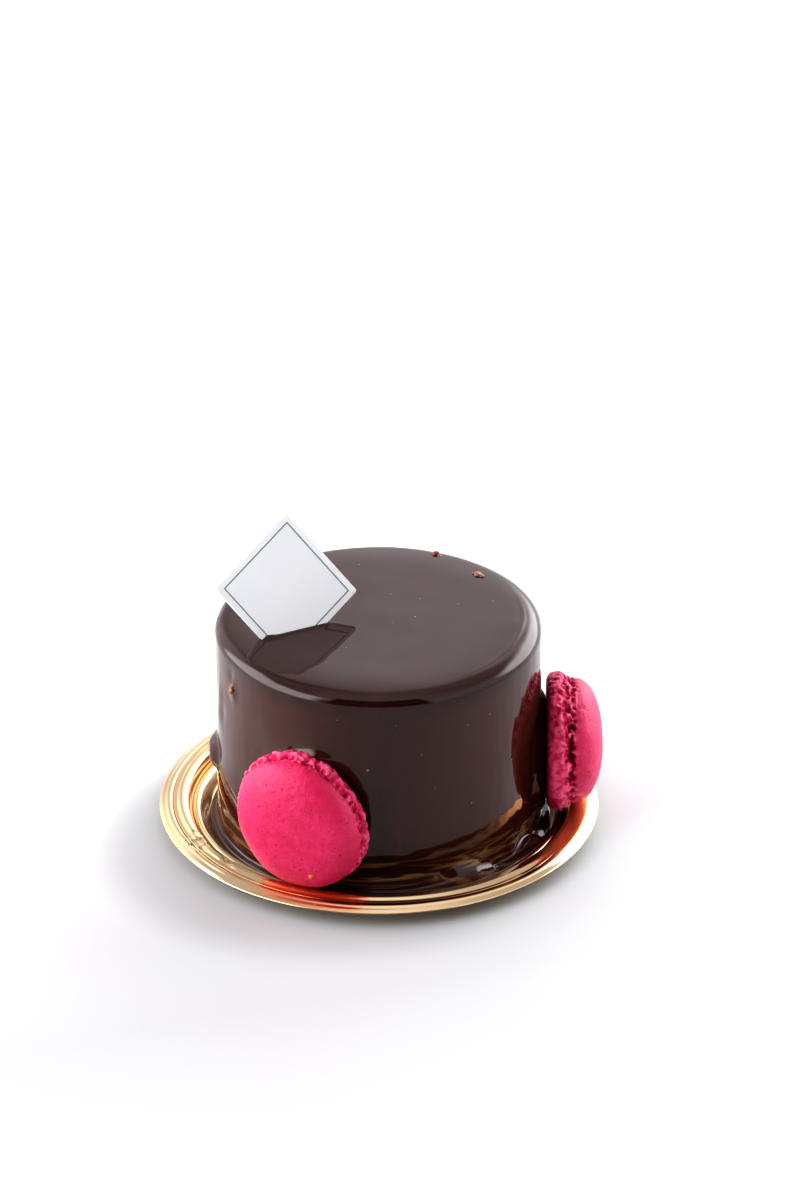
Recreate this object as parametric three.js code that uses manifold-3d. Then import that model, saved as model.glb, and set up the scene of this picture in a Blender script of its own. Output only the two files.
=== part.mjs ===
// Individual entremet: a round, chocolate-glazed cake on a ringed gold foil
// portion tray, with two raspberry-pink macaron shells set against its side
// and a thin square plaque stuck into the top on one corner.
//
// Units are millimetres, +Z is up. The origin is the centre of the tray's
// flat underside. The front of the cake faces -Y.

import * as THREE from 'three';
import { mergeVertices } from 'three/addons/utils/BufferGeometryUtils.js';
import Module from 'manifold-3d';

// ---------------------------------------------------------------- sizes
const DEG = Math.PI / 180;
const GAP = 0.3;                 // air left between pieces that touch

// foil tray
const TRAY_R = 50.0;             // outer radius
const TRAY_FLOOR = 0.8;          // top of the flat floor
const TRAY_FOOT_R = 38.0;        // radius of the flat underside
const FOIL_T = 0.75;             // thickness of the ringed rim
const RING_A = { r: 41.2, z: 3.1 };   // inner ring crown
const RING_B = { r: 44.7, z: 5.0 };   // outer ring crown
const GROOVE_AB = { r: 42.55, z: 2.85 };
const GROOVE_BC = { r: 46.85, z: 4.3 };
const LIP = { r: 47.7, z: 4.6 };      // crown of the outer lip

// cake with its glaze coat
const CAKE_X = -0.1, CAKE_Y = -0.6;   // the cake stands a little off centre
const CAKE_R = 36.65;
const CAKE_TOP = 51.1;
const CAKE_EDGE = 3.7;                // rounding of the top edge
const CAKE_BASE = TRAY_FLOOR + GAP;
const POOL_R = 37.9, POOL_H = 0.85;   // glaze foot run out on the floor
const DISH = 0.3;                     // shallow dip just inside the top edge

// macaron shells: attachment point, direction faced, foot, dome
const MAC_FRONT = {
  at: [-16.12, -34.43, 19.98], azimuth: -111.15, tilt: 0.2,
  footR: 15.46, edgeR: 14.87, footT: 4.65, domeH: 6.07,
  h2: [-0.0338, -0.0519], h3: [0.0093, -0.0032], seed: 1,
};
const MAC_RIGHT = {
  at: [37.89, -1.11, 19.61], azimuth: -0.43, tilt: 0.1,
  footR: 15.26, edgeR: 14.02, footT: 6.66, domeH: 6.13,
  h2: [0.0017, 0.0006], h3: [-0.0013, 0.0035], seed: 2,
};
const MAC_STEPS = 40;

// plaque: a square standing on one corner, leaning back
const PLAQUE = {
  side: 24.3, t: 0.8, corner: 0.7,
  at: [-20.51, -3.51, 59.87],      // centre of the front face
  azimuth: 26.9, lean: 27.3, roll: -13.4,
};

// ---------------------------------------------------------------- helpers
const smooth = (a, b, x) => {
  const t = Math.min(1, Math.max(0, (x - a) / (b - a)));
  return t * t * (3 - 2 * t);
};
const wrap = (a) => Math.atan2(Math.sin(a), Math.cos(a));
const bump = (a, width) => Math.exp(-(a * a) / (width * width));

// A closed skin from rings of points between two pole points. Rings run
// counterclockwise seen from +axis, and the list goes from the lower pole to
// the upper one.
function skin(lowPole, rings, highPole) {
  const pos = [...lowPole];
  for (const ring of rings) for (const p of ring) pos.push(...p);
  pos.push(...highPole);
  const n = rings[0].length, top = 1 + n * rings.length, index = [];
  for (let i = 0; i < n; i++) {
    const j = (i + 1) % n;
    index.push(0, 1 + j, 1 + i);
    for (let k = 0; k + 1 < rings.length; k++) {
      const a = 1 + k * n + i, b = 1 + k * n + j, c = a + n, d = b + n;
      // the shorter diagonal, chosen by turns so the facets stay even
      if ((i + k) % 2) index.push(a, b, d, a, d, c);
      else index.push(a, b, c, b, d, c);
    }
    const base = 1 + (rings.length - 1) * n;
    index.push(base + i, base + j, top);
  }
  const g = new THREE.BufferGeometry();
  g.setAttribute('position', new THREE.Float32BufferAttribute(pos, 3));
  g.setIndex(index);
  g.computeVertexNormals();
  return g;
}

const wasm = await Module();
wasm.setup();

function toSolid(geometry) {
  let g = geometry.clone();
  g.deleteAttribute('normal');
  g.deleteAttribute('uv');
  g = mergeVertices(g, 1e-4);
  return new wasm.Manifold(new wasm.Mesh({
    numProp: 3,
    vertProperties: new Float32Array(g.attributes.position.array),
    triVerts: new Uint32Array(g.index.array),
  }));
}

function fromSolid(solid) {
  const m = solid.getMesh();
  const g = new THREE.BufferGeometry();
  const pos = new Float32Array(m.numVert * 3);
  for (let i = 0; i < m.numVert; i++)
    for (let k = 0; k < 3; k++) pos[3 * i + k] = m.vertProperties[i * m.numProp + k];
  g.setAttribute('position', new THREE.BufferAttribute(pos, 3));
  g.setIndex(new THREE.BufferAttribute(new Uint32Array(m.triVerts), 1));
  g.computeVertexNormals();
  return g;
}

// ---------------------------------------------------------------- tray
// Pressed foil board: a flat floor, two raised rings with a groove between
// them, a second groove, and a lip that rolls down to the outer edge.
function trayGeometry() {
  const top = [
    [TRAY_FOOT_R + 0.55, TRAY_FLOOR],
    [TRAY_FOOT_R + 1.1, TRAY_FLOOR + 0.55],
    [RING_A.r - 1.4, RING_A.z - 0.75],
    [RING_A.r - 0.7, RING_A.z - 0.15],
    [RING_A.r, RING_A.z],
    [GROOVE_AB.r, GROOVE_AB.z],
    [GROOVE_AB.r + 0.75, RING_B.z - 1.2],
    [RING_B.r - 0.7, RING_B.z - 0.25],
    [RING_B.r, RING_B.z],
    [RING_B.r + 0.8, RING_B.z - 0.1],
    [RING_B.r + 1.6, RING_B.z - 0.45],
    [GROOVE_BC.r, GROOVE_BC.z],
    [LIP.r, LIP.z],
    [LIP.r + 0.8, LIP.z - 0.2],
    [LIP.r + 1.6, LIP.z - 0.55],
    [TRAY_R, LIP.z - 0.85],
  ];
  const under = [
    [TRAY_R - 0.15, LIP.z - 1.2],
    [LIP.r + 1.0, LIP.z - 1.05],
    [LIP.r, LIP.z - FOIL_T],
    [GROOVE_BC.r, GROOVE_BC.z - FOIL_T],
    [RING_B.r + 0.9, RING_B.z - FOIL_T - 0.3],
    [RING_B.r - 0.1, RING_B.z - FOIL_T - 0.15],
    [GROOVE_AB.r + 1.3, GROOVE_AB.z - FOIL_T + 0.35],
    [GROOVE_AB.r + 0.1, GROOVE_AB.z - FOIL_T],
    [RING_A.r, RING_A.z - FOIL_T],
    [RING_A.r - 0.9, RING_A.z - FOIL_T - 0.55],
    [TRAY_FOOT_R + 0.9, 0.35],
    [TRAY_FOOT_R, 0],
  ];
  const outline = [[0, 0], ...under.slice().reverse(), ...top.slice().reverse(), [0, TRAY_FLOOR]];
  const g = new THREE.LatheGeometry(outline.map(([r, z]) => new THREE.Vector2(r, z)), 66);
  g.rotateX(Math.PI / 2);        // the lathe turns about Y; stand it on Z
  return g;
}

// ---------------------------------------------------------------- cake
// Direction a macaron faces, and how far from the cake's axis its flat back is.
function backPlane(m) {
  const a = m.azimuth * DEG;
  const dx = m.at[0] - CAKE_X, dy = m.at[1] - CAKE_Y;
  return { a, z: m.at[2], d: dx * Math.cos(a) + dy * Math.sin(a) };
}
const BACKS = [backPlane(MAC_FRONT), backPlane(MAC_RIGHT)];

// Wall radius with its slow waviness, the hanging drip on the left side and
// the pads of set glaze that hold the two macaron shells.
function wallRadius(th, z) {
  let r = CAKE_R + 0.10 * Math.sin(3 * th + 0.7) + 0.06 * Math.sin(7 * th + z * 0.09);
  r += 1.9 * bump(wrap(th - 183 * DEG), 6.5 * DEG) * bump(z - 18.5, 4.6);
  for (const b of BACKS) {
    const da = wrap(th - b.a);
    if (Math.abs(da) > 0.6) continue;
    const across = CAKE_R * Math.sin(da), up = z - b.z;
    const w = 1 - smooth(6.0, 10.5, Math.hypot(across, up));
    if (w > 0) r += w * ((b.d - GAP) / Math.cos(da) - r);
  }
  return r;
}

// How far, and how thick, the glaze has run out on the tray's floor. Two
// lobes lie at the front right.
function pool(th) {
  const lobe = bump(wrap(th + 68 * DEG), 24 * DEG) + 0.9 * bump(wrap(th + 30 * DEG), 15 * DEG);
  return {
    r: POOL_R + 0.2 * Math.sin(5 * th + 1.1) + 0.35 * lobe,
    h: POOL_H + 0.1 * Math.sin(4 * th) + 0.55 * lobe,
  };
}

function cakeGeometry() {
  const N = 80, rings = [];
  const ring = (f) => {
    const pts = [];
    for (let i = 0; i < N; i++) {
      const th = (2 * Math.PI * i) / N, [r, z] = f(th);
      pts.push([CAKE_X + r * Math.cos(th), CAKE_Y + r * Math.sin(th), z]);
    }
    rings.push(pts);
  };
  const base = CAKE_BASE;
  ring((th) => [pool(th).r - 0.35, base]);
  ring((th) => [pool(th).r, base + 0.3]);
  ring((th) => { const p = pool(th); return [p.r - 0.25, base + 0.35 + 0.55 * p.h]; });
  ring((th) => { const p = pool(th); return [0.55 * CAKE_R + 0.45 * p.r, base + 0.35 + p.h]; });
  ring((th) => { const p = pool(th); return [CAKE_R + 0.12 * (p.r - CAKE_R), base + 1.1 + 1.5 * p.h]; });
  for (const z of [6, 9.5, 13, 16, 19, 22, 25.5, 29, 33, 38, 43])
    ring((th) => [wallRadius(th, z), z]);
  for (const a of [0, 22, 44, 66, 84])
    ring((th) => {
      const r0 = wallRadius(th, CAKE_TOP - CAKE_EDGE);
      return [r0 - CAKE_EDGE + CAKE_EDGE * Math.cos(a * DEG),
              CAKE_TOP - CAKE_EDGE + CAKE_EDGE * Math.sin(a * DEG)];
    });
  ring(() => [CAKE_R - CAKE_EDGE - 2.4, CAKE_TOP - DISH]);
  ring(() => [CAKE_R - CAKE_EDGE - 7.5, CAKE_TOP - 0.35 * DISH]);
  ring(() => [CAKE_R - CAKE_EDGE - 17, CAKE_TOP]);
  return skin([CAKE_X, CAKE_Y, base], rings, [CAKE_X, CAKE_Y, CAKE_TOP + 0.05]);
}

// ---------------------------------------------------------------- macarons
// One half shell: flat back, ruffled foot, crease, smooth dome. Built along
// +Z and then turned to face its way.
function macaronGeometry(m) {
  const ruffle = (p, t) =>
    0.22 * Math.sin(13 * p + 5 * t + m.seed) + 0.16 * Math.sin(19 * p - 4 * t + 2.1 * m.seed);
  const even = (p) => 1 + m.h2[0] * Math.cos(2 * p) + m.h2[1] * Math.sin(2 * p)
    + m.h3[0] * Math.cos(3 * p) + m.h3[1] * Math.sin(3 * p);
  const rings = [];
  const ring = (t, rho, frill) => {
    const pts = [];
    for (let i = 0; i < MAC_STEPS; i++) {
      const p = (2 * Math.PI * i) / MAC_STEPS;
      const r = rho * even(p) + frill * ruffle(p, t);
      pts.push([r * Math.cos(p), r * Math.sin(p), t]);
    }
    rings.push(pts);
  };
  const T = m.footT, F = m.footR, E = m.edgeR;
  ring(0, F - 1.0, 0);
  ring(0.12 * T, F - 0.25, 0.5);
  ring(0.38 * T, F, 1);
  ring(0.62 * T, F - 0.05, 1);
  ring(0.8 * T, F - 0.55, 0.7);
  ring(0.9 * T, E - 0.55, 0.3);
  ring(T, E, 0);
  for (const g of [0.05, 0.14, 0.27, 0.44, 0.64, 0.83]) {
    const rho = E * (1 - g);
    ring(T + m.domeH * Math.sqrt(1 - Math.pow(1 - g, 2.3)), rho, 0);
  }
  const g = skin([0, 0, 0], rings, [0, 0, T + m.domeH]);
  return g;
}

function facing(m) {
  // local +Z goes to the outward direction, local +X stays level
  const a = m.azimuth * DEG, e = m.tilt * DEG;
  const n = new THREE.Vector3(Math.cos(a) * Math.cos(e), Math.sin(a) * Math.cos(e), Math.sin(e));
  const u = new THREE.Vector3(0, 0, 1).cross(n).normalize();
  const v = n.clone().cross(u);
  return new THREE.Matrix4().makeBasis(u, v, n);
}

// ---------------------------------------------------------------- plaque
function plaqueGeometry(side, t, corner) {
  const h = side / 2, c = corner, s = new THREE.Shape();
  s.moveTo(-h + c, -h);
  s.lineTo(h - c, -h); s.absarc(h - c, -h + c, c, -Math.PI / 2, 0, false);
  s.lineTo(h, h - c); s.absarc(h - c, h - c, c, 0, Math.PI / 2, false);
  s.lineTo(-h + c, h); s.absarc(-h + c, h - c, c, Math.PI / 2, Math.PI, false);
  s.lineTo(-h, -h + c); s.absarc(-h + c, -h + c, c, Math.PI, 1.5 * Math.PI, false);
  const g = new THREE.ExtrudeGeometry(s, { depth: t, bevelEnabled: false, curveSegments: 4 });
  g.rotateZ(Math.PI / 4);        // stand it on a corner
  return g;
}

function plaqueMatrix() {
  const a = PLAQUE.azimuth * DEG, e = PLAQUE.lean * DEG, r = PLAQUE.roll * DEG;
  const level = new THREE.Vector3(Math.cos(a), Math.sin(a), 0);
  const n = new THREE.Vector3(Math.sin(a) * Math.cos(e), -Math.cos(a) * Math.cos(e), Math.sin(e));
  const up = n.clone().cross(level);
  const U = level.clone().multiplyScalar(Math.cos(r)).addScaledVector(up, Math.sin(r));
  const V = level.clone().multiplyScalar(-Math.sin(r)).addScaledVector(up, Math.cos(r));
  const m = new THREE.Matrix4().makeBasis(U, V, n);
  m.setPosition(...PLAQUE.at);
  return m;
}

// ---------------------------------------------------------------- looks
const GOLD = new THREE.MeshStandardMaterial({ color: 0xd9b06a, metalness: 1.0, roughness: 0.15 });
const GLAZE = new THREE.MeshStandardMaterial({ color: 0x3b2521, metalness: 0.0, roughness: 0.06 });
const MACARON = new THREE.MeshStandardMaterial({ color: 0xe0285c, metalness: 0.0, roughness: 0.7 });
const WHITE = new THREE.MeshStandardMaterial({ color: 0xe6e9ec, metalness: 0.0, roughness: 0.35 });

// ---------------------------------------------------------------- assembly
const entremet = new THREE.Group();

function add(name, geometry, material, matrix) {
  const mesh = new THREE.Mesh(geometry, material);
  mesh.name = name;
  if (matrix) matrix.decompose(mesh.position, mesh.quaternion, mesh.scale);
  entremet.add(mesh);
  return mesh;
}

add('foil_tray', trayGeometry(), GOLD);

// The plaque's slot goes 6 mm down into the cake, with air all round it.
const plaqueAt = plaqueMatrix();
const plaqueBody = plaqueGeometry(PLAQUE.side, PLAQUE.t, PLAQUE.corner);
plaqueBody.translate(0, 0, -PLAQUE.t);
const slotBody = plaqueGeometry(PLAQUE.side + 2 * GAP, PLAQUE.t + 2 * GAP, PLAQUE.corner + GAP);
slotBody.translate(0, 0, -PLAQUE.t - GAP);
slotBody.applyMatrix4(plaqueAt);
const cake = toSolid(cakeGeometry()).subtract(toSolid(slotBody));
add('glazed_cake', fromSolid(cake), GLAZE);

for (const [name, m] of [['macaron_front', MAC_FRONT], ['macaron_right', MAC_RIGHT]]) {
  const at = facing(m);
  at.setPosition(...m.at);
  add(name, macaronGeometry(m), MACARON, at);
}

add('plaque', plaqueBody, WHITE, plaqueAt);

export default entremet;
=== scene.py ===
import math

import bpy
import numpy as np
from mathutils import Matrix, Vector
from mathutils.kdtree import KDTree


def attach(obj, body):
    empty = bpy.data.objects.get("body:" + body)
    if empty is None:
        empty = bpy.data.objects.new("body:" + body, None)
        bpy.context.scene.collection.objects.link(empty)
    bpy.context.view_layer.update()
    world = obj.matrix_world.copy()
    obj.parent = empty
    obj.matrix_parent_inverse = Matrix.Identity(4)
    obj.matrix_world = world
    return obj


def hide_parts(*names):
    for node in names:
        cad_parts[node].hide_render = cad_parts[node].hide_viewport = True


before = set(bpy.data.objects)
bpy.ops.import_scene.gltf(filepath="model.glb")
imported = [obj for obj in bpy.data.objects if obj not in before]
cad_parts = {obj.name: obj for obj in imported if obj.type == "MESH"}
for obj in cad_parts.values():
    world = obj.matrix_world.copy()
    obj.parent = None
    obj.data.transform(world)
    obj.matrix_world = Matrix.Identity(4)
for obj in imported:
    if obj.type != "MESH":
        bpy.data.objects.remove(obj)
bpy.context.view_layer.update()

MM = 0.001
DEG = math.pi / 180

# ------------------------------------------------------------------ sizes, mm
CX, CY = -0.1, -0.6          # cake's axis
R = 36.65                    # wall radius under the glaze's waviness
EDGE = 3.7                   # rounding of the top edge, across
EDGE_UP = 2.8                # and upwards
WALL_TOP = 48.15
ROLL = 8.5 * DEG               # slope left where the rounding gives way to the nearly flat top
ROLL_R = R - EDGE + EDGE * math.sin(ROLL)
ROLL_Z = WALL_TOP + EDGE_UP * math.cos(ROLL)
ROLL_SLOPE = EDGE_UP / EDGE * math.tan(ROLL)
ROLL_LEN = 8.4
H = ROLL_Z + ROLL_SLOPE * ROLL_LEN / 2     # top of the cake
FLOOR = 0.8                  # tray's floor


def top_z(r):
    """Height of the top and its rounded edge at a distance r from the axis."""
    r = np.asarray(r, float)
    k = np.clip((r - (ROLL_R - ROLL_LEN)) / ROLL_LEN, 0, None)
    flat = H - ROLL_SLOPE * ROLL_LEN / 2 * k * k
    q = np.clip((r - (R - EDGE)) / EDGE, 0, 1)
    return np.where(r < ROLL_R, flat, WALL_TOP + EDGE_UP * np.sqrt(1 - q * q))

MAC_FRONT = dict(
    at=(-16.12, -34.43, 19.98), azimuth=-111.15, tilt=0.2, foot=15.46, edge=14.87,
    foot_t=4.65, dome=6.07, h2=(-0.0338, -0.0519), h3=(0.0093, -0.0032), lump=0.27, seed=11)
MAC_RIGHT = dict(
    at=(37.89, -1.11, 19.61), azimuth=-0.43, tilt=0.1, foot=15.26, edge=14.02,
    foot_t=6.66, dome=6.13, h2=(0.0017, 0.0006), h3=(-0.0013, 0.0035), lump=0.34, seed=23)

PLAQUE = dict(side=24.3, t=0.8, corner=0.7, at=(-20.51, -3.51, 59.87),
              azimuth=26.9, lean=27.3, roll=-13.4)


# ------------------------------------------------------------------ helpers
def smooth(a, b, x):
    t = np.clip((np.asarray(x, float) - a) / (b - a), 0, 1)
    return t * t * (3 - 2 * t)


def wrap(a):
    return np.arctan2(np.sin(a), np.cos(a))


def bump(a, width):
    return np.exp(-(np.asarray(a) ** 2) / width ** 2)


def waves(P, size, seed, n=26, stretch=(1, 1, 1)):
    """Smooth random relief of about unit height: many sine waves of one size."""
    rng = np.random.default_rng(seed)
    d = rng.normal(size=(n, 3))
    d /= np.linalg.norm(d, axis=1)[:, None]
    k = d * (2 * math.pi / size) * rng.uniform(0.6, 1.5, n)[:, None]
    ph = rng.uniform(0, 2 * math.pi, n)
    Q = np.asarray(P, float) / np.array(stretch, float)
    out = np.zeros(Q.shape[:-1])
    for i in range(n):
        out += np.sin(Q @ k[i] + ph[i])
    return out * math.sqrt(2.0 / n)


def nearest(P, seeds):
    """Distance from each point to its nearest and second nearest seed, and which seed it was."""
    P = np.asarray(P, float).reshape(-1, np.shape(P)[-1])
    if P.shape[1] == 2:
        P = np.hstack([P, np.zeros((len(P), 1))])
        seeds = np.hstack([seeds, np.zeros((len(seeds), 1))])
    tree = KDTree(len(seeds))
    for i, q in enumerate(seeds):
        tree.insert(q, i)
    tree.balance()
    d1 = np.empty(len(P)); d2 = np.empty(len(P)); who = np.empty(len(P), int)
    for i, q in enumerate(P):
        (_, w, da), (_, _, db) = tree.find_n(q, 2)
        d1[i], d2[i], who[i] = da, db, w
    return d1, d2, who


def grid_mesh(name, P, pole_low=None, pole_high=None, mat=None):
    """A closed skin from rings of points, P[ring, around], in millimetres."""
    K, N, _ = P.shape
    co = [P.reshape(-1, 3)]
    faces = []
    i = np.arange(N); j = (i + 1) % N
    for k in range(K - 1):
        a, b = k * N + i, k * N + j
        faces.append(np.stack([a, b, b + N, a + N], 1))
    quads = np.concatenate(faces) if faces else np.zeros((0, 4), int)
    tris = []
    nxt = K * N
    if pole_low is not None:
        co.append(np.array([pole_low], float)); tris.append(np.stack([np.full(N, nxt), j, i], 1)); nxt += 1
    if pole_high is not None:
        co.append(np.array([pole_high], float))
        base = (K - 1) * N
        tris.append(np.stack([base + i, base + j, np.full(N, nxt)], 1)); nxt += 1
    tris = np.concatenate(tris) if tris else np.zeros((0, 3), int)
    co = np.concatenate(co) * MM
    me = bpy.data.meshes.new(name)
    me.from_pydata(co.tolist(), [], quads.tolist() + tris.tolist())
    me.update()
    me.polygons.foreach_set("use_smooth", [True] * len(me.polygons))
    ob = bpy.data.objects.new(name, me)
    bpy.context.scene.collection.objects.link(ob)
    if mat:
        me.materials.append(mat)
    return ob


def raw_mesh(name, verts, faces, mat=None, smooth_faces=True):
    me = bpy.data.meshes.new(name)
    me.from_pydata((np.asarray(verts, float) * MM).tolist(), [], [list(f) for f in faces])
    me.update()
    if smooth_faces:
        me.polygons.foreach_set("use_smooth", [True] * len(me.polygons))
    ob = bpy.data.objects.new(name, me)
    bpy.context.scene.collection.objects.link(ob)
    if mat:
        me.materials.append(mat)
    return ob


def curve_through(points, n):
    """Points evenly along a centripetal spline through the given profile."""
    P = np.array(points, float)
    P = np.vstack([2 * P[0] - P[1], P, 2 * P[-1] - P[-2]])
    out = []
    for a in range(1, len(P) - 2):
        p0, p1, p2, p3 = P[a - 1:a + 3]
        t0 = 0.0
        t1 = t0 + max(1e-6, np.linalg.norm(p1 - p0)) ** 0.5
        t2 = t1 + max(1e-6, np.linalg.norm(p2 - p1)) ** 0.5
        t3 = t2 + max(1e-6, np.linalg.norm(p3 - p2)) ** 0.5
        t = np.linspace(t1, t2, 24, endpoint=False)[:, None]
        a1 = (t1 - t) / (t1 - t0) * p0 + (t - t0) / (t1 - t0) * p1
        a2 = (t2 - t) / (t2 - t1) * p1 + (t - t1) / (t2 - t1) * p2
        a3 = (t3 - t) / (t3 - t2) * p2 + (t - t2) / (t3 - t2) * p3
        b1 = (t2 - t) / (t2 - t0) * a1 + (t - t0) / (t2 - t0) * a2
        b2 = (t3 - t) / (t3 - t1) * a2 + (t - t1) / (t3 - t1) * a3
        out.append((t2 - t) / (t2 - t1) * b1 + (t - t1) / (t2 - t1) * b2)
    out = np.vstack(out + [P[-2][None]])
    s = np.concatenate([[0], np.cumsum(np.linalg.norm(np.diff(out, axis=0), axis=1))])
    u = np.linspace(0, s[-1], n)
    return np.stack([np.interp(u, s, out[:, 0]), np.interp(u, s, out[:, 1])], 1)


# ------------------------------------------------------------------ materials
def material(name):
    m = bpy.data.materials.new(name)
    m.use_nodes = True
    nt = m.node_tree
    return m, nt, nt.nodes["Principled BSDF"]


def node(nt, kind, **values):
    n = nt.nodes.new(kind)
    for k, v in values.items():
        if k in n.inputs:
            n.inputs[k].default_value = v
        else:
            setattr(n, k, v)
    return n


def ramp(nt, source, stops):
    r = nt.nodes.new("ShaderNodeValToRGB")
    while len(r.color_ramp.elements) > 1:
        r.color_ramp.elements.remove(r.color_ramp.elements[-1])
    r.color_ramp.elements[0].position = stops[0][0]
    r.color_ramp.elements[0].color = (*stops[0][1], 1)
    for p, c in stops[1:]:
        e = r.color_ramp.elements.new(p); e.color = (*c, 1)
    nt.links.new(source, r.inputs[0])
    return r.outputs[0]


def bump_node(nt, height, strength, distance, normal=None):
    b = nt.nodes.new("ShaderNodeBump")
    b.inputs["Strength"].default_value = strength
    b.inputs["Distance"].default_value = distance
    nt.links.new(height, b.inputs["Height"])
    if normal is not None:
        nt.links.new(normal, b.inputs["Normal"])
    return b.outputs[0]


def noise(nt, coord, scale, detail=3.0, rough=0.5, dist=0.0):
    n = nt.nodes.new("ShaderNodeTexNoise")
    n.inputs["Scale"].default_value = scale
    n.inputs["Detail"].default_value = detail
    n.inputs["Roughness"].default_value = rough
    n.inputs["Distortion"].default_value = dist
    nt.links.new(coord, n.inputs["Vector"])
    return n.outputs["Fac"]


def dots(nt, coord, scale, radius, share):
    """1 inside small round spots scattered at random, 0 outside."""
    v = nt.nodes.new("ShaderNodeTexVoronoi"); v.inputs["Scale"].default_value = scale
    nt.links.new(coord, v.inputs["Vector"])
    near = node(nt, "ShaderNodeMath", operation="LESS_THAN"); near.inputs[1].default_value = radius
    nt.links.new(v.outputs["Distance"], near.inputs[0])
    sep = nt.nodes.new("ShaderNodeSeparateColor"); nt.links.new(v.outputs["Color"], sep.inputs[0])
    pick = node(nt, "ShaderNodeMath", operation="LESS_THAN"); pick.inputs[1].default_value = share
    nt.links.new(sep.outputs[0], pick.inputs[0])
    both = node(nt, "ShaderNodeMath", operation="MULTIPLY")
    nt.links.new(near.outputs[0], both.inputs[0]); nt.links.new(pick.outputs[0], both.inputs[1])
    return both.outputs[0]


def mixed(nt, factor, a, colour):
    m = node(nt, "ShaderNodeMix", data_type="RGBA")
    nt.links.new(factor, m.inputs["Factor"])
    nt.links.new(a, m.inputs[6]); m.inputs[7].default_value = (*colour, 1)
    return m.outputs[2]


def around(nt, coord, centre, inner, outer):
    """1 up to one distance from a point, falling to 0 at another."""
    d = node(nt, "ShaderNodeVectorMath", operation="DISTANCE"); d.inputs[1].default_value = centre
    nt.links.new(coord, d.inputs[0])
    m = node(nt, "ShaderNodeMapRange", interpolation_type="SMOOTHSTEP")
    nt.links.new(d.outputs["Value"], m.inputs["Value"])
    m.inputs["From Min"].default_value = inner; m.inputs["From Max"].default_value = outer
    m.inputs["To Min"].default_value = 1.0; m.inputs["To Max"].default_value = 0.0
    return m.outputs[0]


def times(nt, a, b):
    m = node(nt, "ShaderNodeMath", operation="MULTIPLY")
    for k, v in enumerate((a, b)):
        if isinstance(v, (int, float)):
            m.inputs[k].default_value = v
        else:
            nt.links.new(v, m.inputs[k])
    return m.outputs[0]


def glaze_material():
    m, nt, b = material("chocolate_glaze")
    tc = nt.nodes.new("ShaderNodeTexCoord").outputs["Object"]
    mp = node(nt, "ShaderNodeMapping"); mp.inputs["Scale"].default_value = (1, 1, 0.18)
    nt.links.new(tc, mp.inputs["Vector"])
    f = noise(nt, mp.outputs[0], 190, 3, 0.55)
    col = ramp(nt, f, [(0.30, (0.027, 0.0062, 0.0044)), (0.55, (0.033, 0.0077, 0.0056)), (0.75, (0.040, 0.0100, 0.0074))])
    # browner where light comes back from the right shell
    col = mixed(nt, times(nt, around(nt, tc, (0.0380, -0.0011, 0.0200), 0.0195, 0.0232), 0.9), col, (0.088, 0.028, 0.017))
    # a little browner towards the sides of the wall
    sp = nt.nodes.new("ShaderNodeSeparateXYZ"); nt.links.new(tc, sp.inputs[0])
    away = node(nt, "ShaderNodeMath", operation="ABSOLUTE"); nt.links.new(sp.outputs[0], away.inputs[0])
    sides = node(nt, "ShaderNodeMapRange", interpolation_type="SMOOTHSTEP"); nt.links.new(away.outputs[0], sides.inputs["Value"])
    sides.inputs["From Min"].default_value = -0.003; sides.inputs["From Max"].default_value = 0.025
    below = node(nt, "ShaderNodeMapRange", interpolation_type="SMOOTHSTEP"); nt.links.new(sp.outputs[2], below.inputs["Value"])
    below.inputs["From Min"].default_value = 0.044; below.inputs["From Max"].default_value = 0.049
    below.inputs["To Min"].default_value = 0.85; below.inputs["To Max"].default_value = 0.0
    col = mixed(nt, times(nt, sides.outputs[0], below.outputs[0]), col, (0.060, 0.0158, 0.0080))
    # painted reflection of the gold rings: golden-brown wavering lines along the foot
    hem = node(nt, "ShaderNodeMapping"); hem.inputs["Scale"].default_value = (1, 1, 9)
    nt.links.new(tc, hem.inputs["Vector"])
    painted_gold_reflection = ramp(nt, noise(nt, hem.outputs[0], 46, 2, 0.45, 0.5), [(0.42, (0, 0, 0)), (0.475, (0.85, 0.85, 0.85)), (0.52, (0.05, 0.05, 0.05)), (0.58, (0.7, 0.7, 0.7)), (0.63, (0.05, 0.05, 0.05))])
    high = node(nt, "ShaderNodeMapRange"); nt.links.new(sp.outputs[2], high.inputs["Value"])
    high.inputs["From Min"].default_value = 0.0; high.inputs["From Max"].default_value = 0.012
    gold_reflection_band = ramp(nt, high.outputs[0], [(0.23, (0, 0, 0)), (0.30, (1, 1, 1)), (0.60, (0.85, 0.85, 0.85)), (0.80, (0, 0, 0))])
    col = mixed(nt, times(nt, painted_gold_reflection, gold_reflection_band), col, (0.33, 0.18, 0.075))
    nt.links.new(col, b.inputs["Base Color"])
    rf = ramp(nt, noise(nt, tc, 90, 2, 0.5), [(0.3, (0.025, 0.025, 0.025)), (0.7, (0.045, 0.045, 0.045))])
    nt.links.new(rf, b.inputs["Roughness"])
    b.inputs["IOR"].default_value = 1.525
    streak = node(nt, "ShaderNodeMapping"); streak.inputs["Scale"].default_value = (1, 1, 0.035)
    nt.links.new(tc, streak.inputs["Vector"])
    b1 = bump_node(nt, noise(nt, mp.outputs[0], 260, 2, 0.5), 0.25, 0.00002)
    nt.links.new(bump_node(nt, noise(nt, streak.outputs[0], 1100, 2, 0.5), 0.11, 0.00001, b1), b.inputs["Normal"])
    return m


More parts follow.
